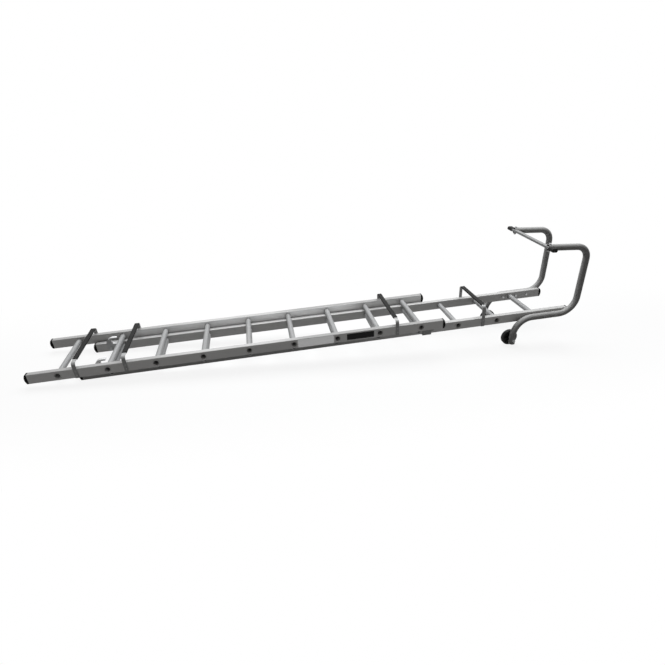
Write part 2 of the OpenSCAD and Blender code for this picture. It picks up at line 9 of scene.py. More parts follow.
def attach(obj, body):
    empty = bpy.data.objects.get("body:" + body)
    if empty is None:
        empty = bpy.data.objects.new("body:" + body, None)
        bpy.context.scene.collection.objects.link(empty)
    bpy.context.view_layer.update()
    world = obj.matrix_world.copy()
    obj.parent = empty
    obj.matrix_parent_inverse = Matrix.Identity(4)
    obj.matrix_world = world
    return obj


bl_info = {
    "name": "Roof Ladder",
    "version": (1, 0, 0),
    "blender": (4, 5, 0),
    "location": "3D View > Sidebar > Roof Ladder",
    "description": "Finishes, small pieces and studio stage of an extending roof ladder",
    "category": "Object",
}

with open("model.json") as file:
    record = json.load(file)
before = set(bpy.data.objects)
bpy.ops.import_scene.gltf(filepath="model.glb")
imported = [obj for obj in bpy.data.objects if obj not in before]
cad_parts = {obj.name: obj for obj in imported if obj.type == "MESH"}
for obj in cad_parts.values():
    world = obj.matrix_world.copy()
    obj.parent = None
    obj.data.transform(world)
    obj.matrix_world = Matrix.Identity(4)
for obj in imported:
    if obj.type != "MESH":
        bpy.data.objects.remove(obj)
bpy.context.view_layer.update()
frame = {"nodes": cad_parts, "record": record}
RECORD = frame["record"]
NODES = frame["nodes"]
SLOT_OF = {row["node"]: row["material_slot"] for row in RECORD["subparts"]}
JOINTS = {joint["name"]: joint for joint in RECORD["behaviour"]["joints"]}

# The ladder's own frame, as in the part's source: X up the ladder from the base's first rung, Y across
# it and Z off the underside of the base stiles. It is tipped by the lie angle onto the wheels.
SLIDE_AXIS = Vector(JOINTS["section_slide"]["axis"])
LIE_ANGLE = math.atan2(SLIDE_AXIS.z, SLIDE_AXIS.x)
WHEEL_X = 2.609
AXLE_Z = -0.1575
ALONG_LADDER = 0
ACROSS_LADDER = 1

# Faces in that frame: the height of the base stiles' tops, and distances from the middle plane.
BASE_TOP = 0.055
BASE_HALF_WIDTH = 0.205
BASE_INSIDE_FACE = 0.175
HOOK_HALF_WIDTH = 0.165
STAY_HOOK_INSIDE_FACE = 0.115

# Places up the ladder between which painted shade on the stiles and a painted reflection inside the base
# stiles fade in or out.
LOW_TOP_SHADE_END = (0.5, 0.7)
HIGH_TOP_SHADE_START = (1.15, 1.3)
REFLECTION_START = (0.22, 0.38)
REFLECTION_EASE = (1.6, 1.8)
REFLECTION_METAL_RISE = (0.4, 1.1)
HOOK_SHADE_END = (1.4, 2.15)

# Rung ends get painted light in the bore and on the lip above these places up the ladder, and a little way
# in from the end.
BASE_RUNGS_BORE_LIGHT_FROM = -0.2
HOOK_RUNGS_BORE_LIGHT_FROM = 2.1
BORE_LIGHT_LENGTH = 0.024
BORE_LIGHT_FADE = 0.05

SATIN_SPECULAR = 0.35

# The bare plates' face lies a little below a narrow rim.
PLATE_CORNER_STEPS = 5
PLATE_RIM_WIDTH = 0.0022
PLATE_RIM_SLOPE = 0.0004
PLATE_FACE_DEPTH = 0.0003

# The light overhead is a little cool, and the light from all round a little warm.
COOL_WHITE = (0.972, 0.987, 1.0)
WARM_WHITE = (1.0, 0.972, 0.94)
PURE_WHITE = (1.0, 1.0, 1.0)

# Each lamp has its place, the point that it is aimed at, and its width and length.
KEY_PLACE = (0.2, 1.22, 3.2)
KEY_AIM = (0.0, 0.36, 0.2)
KEY_SIZE = (5.0, 2.4)
FILL_PLACE = (-1.6, -3.2, 1.8)
FILL_AIM = (0.0, 0.0, 0.2)
FILL_SIZE = (3.0, 1.6)

# The floor shows as white with a share of pale paint that takes the shadow, and as pure white far off.
FLOOR_SIZE = 60.0
FLOOR_PAINT = 0.85
FLOOR_PAINT_SHARE = 0.12
FLOOR_BOUNCE = 0.08
FLOOR_WHITE_FROM = 0.35
FLOOR_WHITE_AT = 1.0
FLOOR_LENGTHWISE_SHARE = 0.25

SENSOR_WIDTH = 36.0
CLIP_START = 0.05
CLIP_END = 200.0


def lying_matrix():
    """Takes a point of the ladder's own frame to the row frame."""
    turn = Matrix.Rotation(-LIE_ANGLE, 4, "Y")
    axle = Vector(JOINTS["wheel_left_turn"]["pos_m"])
    shift = axle - turn @ Vector((WHEEL_X, axle.y, AXLE_Z))
    return Matrix.Translation(shift) @ turn


LYING = lying_matrix()


class LADDER_PG_finish(bpy.types.PropertyGroup):
    """Colours of the ladder's materials."""
    stile_colour: bpy.props.FloatVectorProperty(
        name="Stile aluminium", description="Colour of the box stiles", subtype="COLOR", size=3,
        min=0.0, max=1.0, default=(0.50, 0.497, 0.49))
    rung_colour: bpy.props.FloatVectorProperty(
        name="Rung aluminium", description="Colour of the grooved rungs", subtype="COLOR", size=3,
        min=0.0, max=1.0, default=(0.335, 0.336, 0.337))
    strip_colour: bpy.props.FloatVectorProperty(
        name="Strip aluminium", description="Colour of the bearer strips", subtype="COLOR", size=3,
        min=0.0, max=1.0, default=(0.42, 0.421, 0.42))
    bar_colour: bpy.props.FloatVectorProperty(
        name="Ridge bar", description="Colour of the ridge bar", subtype="COLOR", size=3,
        min=0.0, max=1.0, default=(0.27, 0.27, 0.268))
    stay_colour: bpy.props.FloatVectorProperty(
        name="Stay hooks", description="Colour of the cast stay hooks", subtype="COLOR", size=3,
        min=0.0, max=1.0, default=(0.7, 0.702, 0.705))
    guide_colour: bpy.props.FloatVectorProperty(
        name="Guide brackets", description="Colour of the cast guide brackets", subtype="COLOR", size=3,
        min=0.0, max=1.0, default=(0.36, 0.362, 0.365))
    tube_colour: bpy.props.FloatVectorProperty(
        name="Hook tube", description="Colour of the bent tubes", subtype="COLOR", size=3,
        min=0.0, max=1.0, default=(0.41, 0.408, 0.402))
    steel_colour: bpy.props.FloatVectorProperty(
        name="Plated steel", description="Colour of the bolts and nuts", subtype="COLOR", size=3,
        min=0.0, max=1.0, default=(0.52, 0.525, 0.53))
    # Painted reflection: a light colour on the base stiles' inside faces that stands in for reflected
    # light.
    painted_reflection_colour: bpy.props.FloatVectorProperty(
        name="Painted reflection", description="Painted reflection on the base stiles' inside faces",
        subtype="COLOR", size=3, min=0.0, max=1.0, default=(0.76, 0.762, 0.765))
    # Painted light in the rungs' bores and on their lips.
    bore_light_colour: bpy.props.FloatVectorProperty(
        name="Bore light", description="Colour of the rungs' bores and lips", subtype="COLOR", size=3,
        min=0.0, max=1.0, default=(0.75, 0.75, 0.745))
    plastic_colour: bpy.props.FloatVectorProperty(
        name="Black plastic", description="Colour of the end caps", subtype="COLOR", size=3,
        min=0.0, max=1.0, default=(0.005, 0.005, 0.005))
    rubber_colour: bpy.props.FloatVectorProperty(
        name="Black rubber", description="Colour of the sleeves", subtype="COLOR", size=3,
        min=0.0, max=1.0, default=(0.0095, 0.0093, 0.009))
    wheel_colour: bpy.props.FloatVectorProperty(
        name="Wheel plastic", description="Colour of the wheels", subtype="COLOR", size=3,
        min=0.0, max=1.0, default=(0.016, 0.016, 0.016))
    scuff_colour: bpy.props.FloatVectorProperty(
        name="Scuffs on black", description="Colour of scuffs on plastic and rubber",
        subtype="COLOR", size=3, min=0.0, max=1.0, default=(0.11, 0.11, 0.105))


class LADDER_PG_plates(bpy.types.PropertyGroup):
    """Bare plates on the right base stile."""
    long_start: bpy.props.FloatProperty(
        name="Long plate start", description="Lower end of the long plate along the ladder",
        unit="LENGTH", default=1.272)
    long_length: bpy.props.FloatProperty(
        name="Long plate length", description="Length of the long plate", unit="LENGTH", default=0.206)
    long_height: bpy.props.FloatProperty(
        name="Long plate height", description="Height of the long plate", unit="LENGTH", default=0.048)
    long_colour: bpy.props.FloatVectorProperty(
        name="Long plate colour", description="Colour of the long plate", subtype="COLOR", size=3,
        min=0.0, max=1.0, default=(0.72, 0.72, 0.72))
    short_start: bpy.props.FloatProperty(
        name="Short plate start", description="Lower end of the short plate along the ladder",
        unit="LENGTH", default=1.554)
    short_length: bpy.props.FloatProperty(
        name="Short plate length", description="Length of the short plate", unit="LENGTH", default=0.160)
    short_height: bpy.props.FloatProperty(
        name="Short plate height", description="Height of the short plate", unit="LENGTH", default=0.038)
    short_colour: bpy.props.FloatVectorProperty(
        name="Short plate colour", description="Colour of the short plate", subtype="COLOR", size=3,
        min=0.0, max=1.0, default=(0.007, 0.007, 0.007))
    thickness: bpy.props.FloatProperty(
        name="Plate thickness", description="Thickness of both plates", unit="LENGTH", default=0.0008)
    corner: bpy.props.FloatProperty(
        name="Plate corner", description="Corner radius of both plates", unit="LENGTH", default=0.004)


class LADDER_PG_stage(bpy.types.PropertyGroup):
    """Camera and light."""
    camera_place: bpy.props.FloatVectorProperty(
        name="Camera place", description="Where the camera stands", subtype="TRANSLATION",
        unit="LENGTH", size=3, default=(-0.37589, -2.4557, 1.40751))
    camera_turn: bpy.props.FloatVectorProperty(
        name="Camera turn", description="Camera rotation about X, Y and Z", subtype="EULER",
        unit="ROTATION", size=3,
        default=(math.radians(62.4443), math.radians(-0.8987), math.radians(-10.5689)))
    lens: bpy.props.FloatProperty(
        name="Lens", description="Focal length on a 36 mm sensor", unit="CAMERA", default=24.749)
    shift_x: bpy.props.FloatProperty(
        name="Shift X", description="Sideways lens shift", default=-0.00585)
    shift_y: bpy.props.FloatProperty(
        name="Shift Y", description="Upward lens shift", default=-0.0022)
    key_power: bpy.props.FloatProperty(
        name="Key power", description="Power of the large lamp overhead", subtype="POWER",
        default=195.0)
    fill_power: bpy.props.FloatProperty(
        name="Fill power", description="Power of the soft lamp in front", subtype="POWER", default=1.5)
    sky_level: bpy.props.FloatProperty(
        name="Sky level", description="Plain light from all round", default=0.09)


def finish_plan():
    return bpy.context.scene.ladder_finish


def plate_plan():
    return bpy.context.scene.ladder_plates


def stage_plan():
    return bpy.context.scene.ladder_stage


class Finish:
    """A procedural material in the making: a Principled shader fed by patterns on Object coordinates."""

    def __init__(self, name, colour, roughness, metallic, specular=SATIN_SPECULAR):
        self.material = bpy.data.materials.new(name)
        self.material.use_nodes = True
        tree = self.material.node_tree
        tree.nodes.clear()
        self.nodes = tree.nodes
        self.links = tree.links
        self.shader = self.nodes.new("ShaderNodeBsdfPrincipled")
        output = self.nodes.new("ShaderNodeOutputMaterial")
        self.links.new(self.shader.outputs["BSDF"], output.inputs["Surface"])
        self.colour = (*colour, 1.0)
        self.roughness = roughness
        self.shader.inputs["Base Color"].default_value = self.colour
        self.shader.inputs["Roughness"].default_value = roughness
        self.shader.inputs["Metallic"].default_value = metallic
        self.shader.inputs["Specular IOR Level"].default_value = specular
        self.coordinates = self.nodes.new("ShaderNodeTexCoord").outputs["Object"]
        self.height = None
        self.tint = None

    def noise(self, scale, detail=4.0, stretch=(1.0, 1.0, 1.0), roughness=0.55):
        """Noise along the ladder's own axes; stretch scales it per axis."""
        mapping = self.nodes.new("ShaderNodeMapping")
        mapping.inputs["Rotation"].default_value = (0.0, LIE_ANGLE, 0.0)
        mapping.inputs["Scale"].default_value = stretch
        self.links.new(self.coordinates, mapping.inputs["Vector"])
        noise = self.nodes.new("ShaderNodeTexNoise")
        noise.inputs["Scale"].default_value = scale
        noise.inputs["Detail"].default_value = detail
        noise.inputs["Roughness"].default_value = roughness
        self.links.new(mapping.outputs["Vector"], noise.inputs["Vector"])
        return noise.outputs["Fac"]

    def place_on_ladder(self):
        """Place up the ladder, distance from its middle plane, and height, in the ladder's own frame."""
        mapping = self.nodes.new("ShaderNodeMapping")
        mapping.inputs["Rotation"].default_value = (0.0, LIE_ANGLE, 0.0)
        mapping.inputs["Location"].default_value = LYING.inverted().translation
        self.links.new(self.coordinates, mapping.inputs["Vector"])
        split = self.nodes.new("ShaderNodeSeparateXYZ")
        self.links.new(mapping.outputs["Vector"], split.inputs["Vector"])
        size = self.nodes.new("ShaderNodeMath")
        size.operation = "ABSOLUTE"
        self.links.new(split.outputs["Y"], size.inputs[0])
        return split.outputs["X"], size.outputs["Value"], split.outputs["Z"]

    def spread(self, value, low, high, start=0.3, end=0.7):
        """Maps a pattern's range from start to end onto low to high, and holds it there outside."""
        node = self.nodes.new("ShaderNodeMapRange")
        node.inputs["From Min"].default_value = start
        node.inputs["From Max"].default_value = end
        node.inputs["To Min"].default_value = low
        node.inputs["To Max"].default_value = high
        self.links.new(value, node.inputs["Value"])
        return node.outputs["Result"]

    def rise(self, value, start, end):
        """0 up to start and 1 from end on."""
        return self.spread(value, 0.0, 1.0, start, end)

    def fall(self, value, start, end):
        """1 up to start and 0 from end on."""
        return self.spread(value, 1.0, 0.0, start, end)

    def both(self, first, second):
        """Product of two patterns."""
        product = self.nodes.new("ShaderNodeMath")
        product.operation = "MULTIPLY"
        self.links.new(first, product.inputs[0])
        self.links.new(second, product.inputs[1])
        return product.outputs["Value"]

    def vary_colour(self, value, other, amount, start=0.3, end=0.7):
        """Mixes the colour so far with another by up to amount, by the pattern."""
        mix = self.nodes.new("ShaderNodeMix")
        mix.data_type = "RGBA"
        self.links.new(self.spread(value, 0.0, amount, start, end), mix.inputs["Factor"])
        if self.tint is None:
            mix.inputs["A"].default_value = self.colour
        else:
            self.links.new(self.tint, mix.inputs["A"])
        mix.inputs["B"].default_value = (*other, 1.0)
        self.tint = mix.outputs["Result"]
        self.links.new(self.tint, self.shader.inputs["Base Color"])

    def paint(self, mask, other, amount=1.0):
        """Mixes the colour so far with another by amount where the mask is 1."""
        self.vary_colour(mask, other, amount, start=0.0, end=1.0)

    def wear_edges(self, radius, other, amount):
        """Rubs sharp edges towards another colour."""
        rounded = self.nodes.new("ShaderNodeBevel")
        rounded.samples = 4
        rounded.inputs["Radius"].default_value = radius
        flat = self.nodes.new("ShaderNodeNewGeometry")
        likeness = self.nodes.new("ShaderNodeVectorMath")
        likeness.operation = "DOT_PRODUCT"
        self.links.new(rounded.outputs["Normal"], likeness.inputs[0])
        self.links.new(flat.outputs["Normal"], likeness.inputs[1])
        self.vary_colour(likeness.outputs["Value"], other, amount, start=0.985, end=0.86)

    def vary_metal(self, mask, other):
        """Moves the metallic share to another value where the mask is 1."""
        own = self.shader.inputs["Metallic"].default_value
        self.links.new(self.spread(mask, own, other, 0.0, 1.0), self.shader.inputs["Metallic"])

    def vary_roughness(self, value, below, above):
        """Lets the roughness follow the pattern, from below its own value to above it."""
        rough = self.spread(value, self.roughness - below, self.roughness + above)
        self.links.new(rough, self.shader.inputs["Roughness"])

    def raise_bump(self, value, strength, distance):
        """Adds a pattern to the surface's relief."""
        bump = self.nodes.new("ShaderNodeBump")
        bump.inputs["Strength"].default_value = strength
        bump.inputs["Distance"].default_value = distance
        self.links.new(value, bump.inputs["Height"])
        if self.height is not None:
            self.links.new(self.height, bump.inputs["Normal"])
        self.height = bump.outputs["Normal"]
        self.links.new(self.height, self.shader.inputs["Normal"])


def shade(colour, factor):
    """A colour made lighter or darker."""
    return tuple(min(1.0, channel * factor) for channel in colour)


def drawn_finish(name, colour, roughness, metallic, along, specular=SATIN_SPECULAR):
    """Aluminium drawn along one axis of the ladder: die lines, dull clouds and handling scuffs."""
    line_stretch = [260.0, 260.0, 260.0]
    line_stretch[along] = 1.5
    scuff_stretch = [14.0, 14.0, 14.0]
    scuff_stretch[along] = 40.0
    finish = Finish(name, colour, roughness, metallic, specular)
    lines = finish.noise(scale=1.0, detail=3.0, stretch=line_stretch)
    clouds = finish.noise(scale=5.0, detail=5.0)
    scuffs = finish.noise(scale=1.0, detail=6.0, stretch=scuff_stretch, roughness=0.7)
    finish.vary_colour(lines, shade(colour, 0.86), amount=0.55)
    finish.vary_colour(clouds, shade(colour, 1.10), amount=0.5)
    finish.vary_colour(scuffs, shade(colour, 0.72), amount=0.5, start=0.62, end=0.75)
    finish.wear_edges(radius=0.0012, other=shade(colour, 1.5), amount=0.6)
    finish.vary_roughness(clouds, below=0.06, above=0.08)
    finish.raise_bump(lines, strength=0.12, distance=0.0004)
    return finish


def base_stile_aluminium(name, colour, reflection_colour):
    """Drawn aluminium, with painted shade on the tops towards both ends and a painted reflection on the
    inside faces where the hook section slides.
    """
    finish = drawn_finish(name, colour, roughness=0.46, metallic=0.17, along=ALONG_LADDER)
    up, across, height = finish.place_on_ladder()
    top = finish.rise(height, BASE_TOP - 0.0015, BASE_TOP - 0.0005)
    # Painted shade: the tops are painted darker towards both ends.
    top_shade_low = finish.both(top, finish.fall(up, *LOW_TOP_SHADE_END))
    top_shade_high = finish.both(top, finish.rise(up, *HIGH_TOP_SHADE_START))
    finish.paint(top_shade_low, shade(colour, 0.8))
    finish.paint(top_shade_high, shade(colour, 0.67))
    # Painted reflection: the inside faces are painted lighter and made more metallic, in place of
    # reflected light.
    inside = finish.fall(across, BASE_INSIDE_FACE + 0.0005, BASE_INSIDE_FACE + 0.0018)
    painted_light = finish.both(inside, finish.rise(up, *REFLECTION_START))
    painted_light = finish.both(painted_light, finish.spread(up, 1.0, 0.5, *REFLECTION_EASE))
    finish.paint(painted_light, reflection_colour, amount=0.9)
    reflection_metal = finish.both(painted_light, finish.spread(up, 0.35, 1.0, *REFLECTION_METAL_RISE))
    finish.vary_metal(reflection_metal, 0.62)
    return finish.material


def hook_stile_aluminium(name, colour):
    """Drawn aluminium, with painted shade on the outside faces that lie in the base section."""
    finish = drawn_finish(name, colour, roughness=0.46, metallic=0.17, along=ALONG_LADDER)
    up, across, _ = finish.place_on_ladder()
    outside = finish.rise(across, HOOK_HALF_WIDTH - 0.0018, HOOK_HALF_WIDTH - 0.0005)
    # Painted shade on the outside faces where the base section overhangs them.
    painted_light = finish.both(outside, finish.fall(up, *HOOK_SHADE_END))
    finish.paint(painted_light, shade(colour, 0.6), amount=0.9)
    finish.vary_metal(painted_light, 0.03)
    return finish.material


def rung_aluminium(name, colour, bore_light_colour, half_width, bore_light_from):
    """Drawn aluminium, with painted light in the bore and on the lip of the ends above the given place up
    the ladder.
    """
    finish = drawn_finish(name, colour, roughness=0.42, metallic=0.15, along=ACROSS_LADDER)
    up, across, _ = finish.place_on_ladder()
    # Painted light in the bore and on the lip near each end.
    end = finish.rise(across, half_width - BORE_LIGHT_LENGTH, half_width - BORE_LIGHT_LENGTH / 4)
    bore_light = finish.both(end, finish.rise(up, bore_light_from, bore_light_from + BORE_LIGHT_FADE))
    finish.paint(bore_light, bore_light_colour)
    finish.vary_metal(bore_light, 0.0)
    return finish.material


def strap_aluminium(name, colour, half_width):
    """Drawn aluminium, with painted shade on the feet that lie on the stiles' outside faces."""
    finish = drawn_finish(name, colour, roughness=0.4, metallic=0.15, along=ACROSS_LADDER)
    _, across, _ = finish.place_on_ladder()
    shaded_feet = finish.rise(across, half_width + 0.001, half_width + 0.0025)
    # Painted shade on the feet, the strips' side faces.
    finish.paint(shaded_feet, shade(colour, 0.75))
    finish.vary_metal(shaded_feet, 0.08)
    return finish.material


def bar_aluminium(name, colour):
    """Drawn aluminium with a dull, weathered skin."""
    finish = drawn_finish(name, colour, roughness=0.46, metallic=0.03, along=ACROSS_LADDER, specular=0.15)
    return finish.material


def tube_aluminium(name, colour):
    """Satin aluminium whose grain is alike in every direction, with dull clouds and light scuffs."""
    finish = Finish(name, colour, roughness=0.5, metallic=0.03, specular=0.1)
    grain = finish.noise(scale=320.0, detail=2.0)
    clouds = finish.noise(scale=5.0, detail=5.0)
    scuffs = finish.noise(scale=38.0, detail=6.0, roughness=0.7)
    finish.vary_colour(grain, shade(colour, 0.92), amount=0.5)
    finish.vary_colour(clouds, shade(colour, 1.10), amount=0.5)
    finish.vary_colour(scuffs, shade(colour, 0.78), amount=0.4, start=0.62, end=0.78)
    finish.wear_edges(radius=0.0012, other=shade(colour, 1.5), amount=0.6)
    finish.vary_roughness(clouds, below=0.06, above=0.08)
    finish.raise_bump(grain, strength=0.05, distance=0.0003)
    return finish.material


def cast_finish(name, colour, metallic):
    """Sand-cast aluminium: grainy skin with darker pits."""
    finish = Finish(name, colour, roughness=0.5, metallic=metallic)
    grain = finish.noise(scale=520.0, detail=3.0)
    clouds = finish.noise(scale=22.0, detail=4.0)
    finish.vary_colour(clouds, shade(colour, 0.82), amount=0.6)
    finish.vary_colour(grain, shade(colour, 0.7), amount=0.5, start=0.58, end=0.75)
    finish.vary_roughness(grain, below=0.08, above=0.1)
    finish.raise_bump(grain, strength=0.25, distance=0.0006)
    return finish


def cast_aluminium(name, colour, metallic):
    """Sand-cast aluminium that is alike all over."""
    return cast_finish(name, colour, metallic).material


def stay_hook_aluminium(name, colour):
    """Cast aluminium, light in colour, with painted shade on the inside faces."""
    finish = cast_finish(name, colour, metallic=0.45)
    _, across, _ = finish.place_on_ladder()
    shaded_inside = finish.fall(across, STAY_HOOK_INSIDE_FACE + 0.0002, STAY_HOOK_INSIDE_FACE + 0.0008)
    # Painted shade on the inside faces.
    finish.paint(shaded_inside, shade(colour, 0.7))
    finish.vary_metal(shaded_inside, 0.15)
    return finish.material


def plated_steel(name, colour):
    """Zinc plate: fine sparkle and cloudy passivation."""
    finish = Finish(name, colour, roughness=0.36, metallic=0.25)
    clouds = finish.noise(scale=60.0, detail=4.0)
    sparkle = finish.noise(scale=700.0, detail=2.0)
    finish.vary_colour(clouds, shade(colour, 0.8), amount=0.6)
    finish.vary_roughness(clouds, below=0.08, above=0.12)
    finish.raise_bump(sparkle, strength=0.08, distance=0.0002)
    return finish.material


def hook_bolt_steel(name, colour):
    """Zinc plate with a high metal share, bright on the heads inside the stiles, and with painted shade on
    the ends outside the tubes.
    """
    finish = Finish(name, shade(colour, 0.95), roughness=0.3, metallic=0.7)
    clouds = finish.noise(scale=60.0, detail=4.0)
    sparkle = finish.noise(scale=700.0, detail=2.0)
    _, across, _ = finish.place_on_ladder()
    outside = finish.rise(across, HOOK_HALF_WIDTH + 0.005, HOOK_HALF_WIDTH + 0.025)
    finish.vary_colour(clouds, shade(colour, 0.7), amount=0.5)
    # Painted shade on the bolt ends outside the tubes.
    finish.paint(outside, shade(colour, 0.45))
    finish.vary_metal(outside, 0.05)
    finish.vary_roughness(clouds, below=0.06, above=0.12)
    finish.raise_bump(sparkle, strength=0.08, distance=0.0002)
    return finish.material


def moulded_black(name, colour, roughness, specular, grain_scale, dust):
    """Moulded plastic or rubber: fine grain, with pale dust and scuffs."""
    finish = Finish(name, colour, roughness, metallic=0.0, specular=specular)
    grain = finish.noise(scale=grain_scale, detail=3.0)
    clouds = finish.noise(scale=16.0, detail=5.0)
    scuffs = finish.noise(scale=70.0, detail=6.0, roughness=0.75)
    finish.vary_colour(clouds, shade(colour, 1.8), amount=dust)
    finish.vary_colour(scuffs, finish_plan().scuff_colour, amount=0.3, start=0.64, end=0.8)
    finish.wear_edges(radius=0.0015, other=shade(colour, 2.5), amount=0.6)
    finish.vary_roughness(clouds, below=0.06, above=0.08)
    finish.raise_bump(grain, strength=0.2, distance=0.0004)
    return finish.material


def plate_film(name, colour, metallic, specular):
    """Thin plate with a satin face and faint rubbing marks."""
    finish = Finish(name, colour, roughness=0.4, metallic=metallic, specular=specular)
    marks = finish.noise(scale=1.0, detail=4.0, stretch=(30.0, 30.0, 160.0), roughness=0.6)
    finish.vary_colour(marks, shade(colour, 1.25), amount=0.5)
    finish.vary_roughness(marks, below=0.05, above=0.1)
    return finish.material


def dress_node(node, material):
    """Gives one CAD node its finish."""
    mesh = NODES[node].data
    mesh.materials.clear()
    mesh.materials.append(material)


def dress_slot(slot, material):
    """Gives every CAD node of one material slot its finish."""
    for node, node_slot in SLOT_OF.items():
        if node_slot == slot:
            dress_node(node, material)


def deselect_everything():
    """Leaves edit mode and clears the selection, before an operator acts on it."""
    if bpy.context.mode != "OBJECT":
        bpy.ops.object.mode_set(mode="OBJECT")
    bpy.ops.object.select_all(action="DESELECT")


def settle(piece, name, material, body):
    """Names a finished piece, puts its place into its mesh and hands it to its body."""
    deselect_everything()
    piece.select_set(True)
    bpy.context.view_layer.objects.active = piece
    bpy.ops.object.transform_apply(location=True, rotation=True, scale=True)
    piece.name = name
    piece.data.name = name
    piece.data.materials.clear()
    piece.data.materials.append(material)
    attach(piece, body)
    deselect_everything()


def select_faces(piece, test):
    """Selects the faces whose centre and normal pass the test, in edit mode."""
    bpy.ops.object.mode_set(mode="OBJECT")
    for face in piece.data.polygons:
        face.select = test(face.center, face.normal)
    bpy.ops.object.mode_set(mode="EDIT")


def select_edges(piece, test):
    """Selects the edges whose two ends pass the test, in edit mode."""
    bpy.ops.object.mode_set(mode="OBJECT")
    points = piece.data.vertices
    for edge in piece.data.edges:
        edge.select = test(points[edge.vertices[0]].co, points[edge.vertices[1]].co)
    bpy.ops.object.mode_set(mode="EDIT")


def bare_plate(start, length, height):
    """A thin plate with round corners and a raised rim, on the right base stile's outside face."""
    plan = plate_plan()
    deselect_everything()
    bpy.ops.mesh.primitive_cube_add(size=1.0)
    piece = bpy.context.active_object
    piece.dimensions = (length, plan.thickness, height)
    bpy.ops.object.transform_apply(location=True, rotation=True, scale=True)
    bpy.ops.object.mode_set(mode="EDIT")
    bpy.ops.mesh.select_mode(type="EDGE")
    bpy.ops.mesh.select_all(action="DESELECT")
    select_edges(piece, lambda a, b: abs(a.y - b.y) > plan.thickness / 2)
    bpy.ops.mesh.bevel(
        offset=plan.corner, offset_type="OFFSET", segments=PLATE_CORNER_STEPS, affect="EDGES")
    bpy.ops.mesh.select_mode(type="FACE")
    bpy.ops.mesh.select_all(action="DESELECT")
    select_faces(piece, lambda centre, normal: normal.y < -0.9)
    bpy.ops.mesh.inset(thickness=PLATE_RIM_WIDTH, depth=0.0)
    bpy.ops.mesh.inset(thickness=PLATE_RIM_SLOPE, depth=-PLATE_FACE_DEPTH)
    bpy.ops.object.mode_set(mode="OBJECT")
    seat = Vector((start + length / 2, -BASE_HALF_WIDTH - plan.thickness / 2, BASE_TOP / 2))
    piece.matrix_world = LYING @ Matrix.Translation(seat)
    return piece


class LADDER_OT_finish_stiles(bpy.types.Operator):
    """Drawn aluminium on the box stiles, rubbed where the sections slide past each other"""
    bl_idname = "ladder.finish_stiles"
    bl_label = "Finish stiles"

    def execute(self, context):
        plan = finish_plan()
        base = base_stile_aluminium("base_stile_aluminium", plan.stile_colour, plan.painted_reflection_colour)
        hook = hook_stile_aluminium("hook_stile_aluminium", plan.stile_colour)
        for side in ("left", "right"):
            dress_node(f"base_stile_{side}", base)
            dress_node(f"hook_stile_{side}", hook)
        return {"FINISHED"}


class LADDER_OT_finish_rungs(bpy.types.Operator):
    """Drawn aluminium on the rungs"""
    bl_idname = "ladder.finish_rungs"
    bl_label = "Finish rungs"

    def execute(self, context):
        plan = finish_plan()
        base = rung_aluminium("base_rung_aluminium", plan.rung_colour, plan.bore_light_colour,
                              BASE_HALF_WIDTH, BASE_RUNGS_BORE_LIGHT_FROM)
        hook = rung_aluminium("hook_rung_aluminium", plan.rung_colour, plan.bore_light_colour,
                              HOOK_HALF_WIDTH, HOOK_RUNGS_BORE_LIGHT_FROM)
        for node, slot in SLOT_OF.items():
            if slot == "rung_aluminium":
                dress_node(node, base if node.startswith("base_") else hook)
        return {"FINISHED"}


class LADDER_OT_finish_strips(bpy.types.Operator):
    """Drawn aluminium on the bearer strips and the ridge bar"""
    bl_idname = "ladder.finish_strips"
    bl_label = "Finish strips"

    def execute(self, context):
        plan = finish_plan()
        base_strap = strap_aluminium("base_strap", plan.strip_colour, BASE_HALF_WIDTH)
        ridge_strap = strap_aluminium("ridge_strap", plan.strip_colour, HOOK_HALF_WIDTH)
        dress_slot("strip_aluminium", base_strap)
        dress_node("ridge_bearer_strap", ridge_strap)
        dress_node("ridge_bar", bar_aluminium("bar_aluminium", plan.bar_colour))
        return {"FINISHED"}


class LADDER_OT_finish_castings(bpy.types.Operator):
    """Cast aluminium on the stay hooks and guide brackets"""
    bl_idname = "ladder.finish_castings"
    bl_label = "Finish castings"

    def execute(self, context):
        plan = finish_plan()
        stay = stay_hook_aluminium("stay_hook_aluminium", plan.stay_colour)
        guide = cast_aluminium("guide_aluminium", plan.guide_colour, metallic=0.08)
        for side in ("left", "right"):
            dress_node(f"stay_hook_{side}", stay)
            dress_node(f"guide_bracket_{side}", guide)
        return {"FINISHED"}


class LADDER_OT_finish_tubes(bpy.types.Operator):
    """Satin aluminium on the bent tubes of the ridge hook"""
    bl_idname = "ladder.finish_tubes"
    bl_label = "Finish hook tubes"

    def execute(self, context):
        dress_slot("hook_tube", tube_aluminium("hook_tube", finish_plan().tube_colour))
        return {"FINISHED"}


class LADDER_OT_finish_fasteners(bpy.types.Operator):
    """Rivets, bolts and nuts"""
    bl_idname = "ladder.finish_fasteners"
    bl_label = "Finish fasteners"

    def execute(self, context):
        plan = finish_plan()
        dress_slot("rivet_aluminium", cast_aluminium("rivet_aluminium", plan.strip_colour, metallic=0.12))
        dress_slot("plated_steel", plated_steel("plated_steel", plan.steel_colour))
        dress_node("ridge_hook_bolts", hook_bolt_steel("hook_bolt_steel", plan.steel_colour))
        return {"FINISHED"}


class LADDER_OT_finish_caps(bpy.types.Operator):
    """Moulded plastic on the end caps"""
    bl_idname = "ladder.finish_caps"
    bl_label = "Finish end caps"

    def execute(self, context):
        plastic = moulded_black("black_plastic", finish_plan().plastic_colour,
                                roughness=0.45, specular=0.03, grain_scale=900.0, dust=0.5)
        dress_slot("black_plastic", plastic)
        return {"FINISHED"}


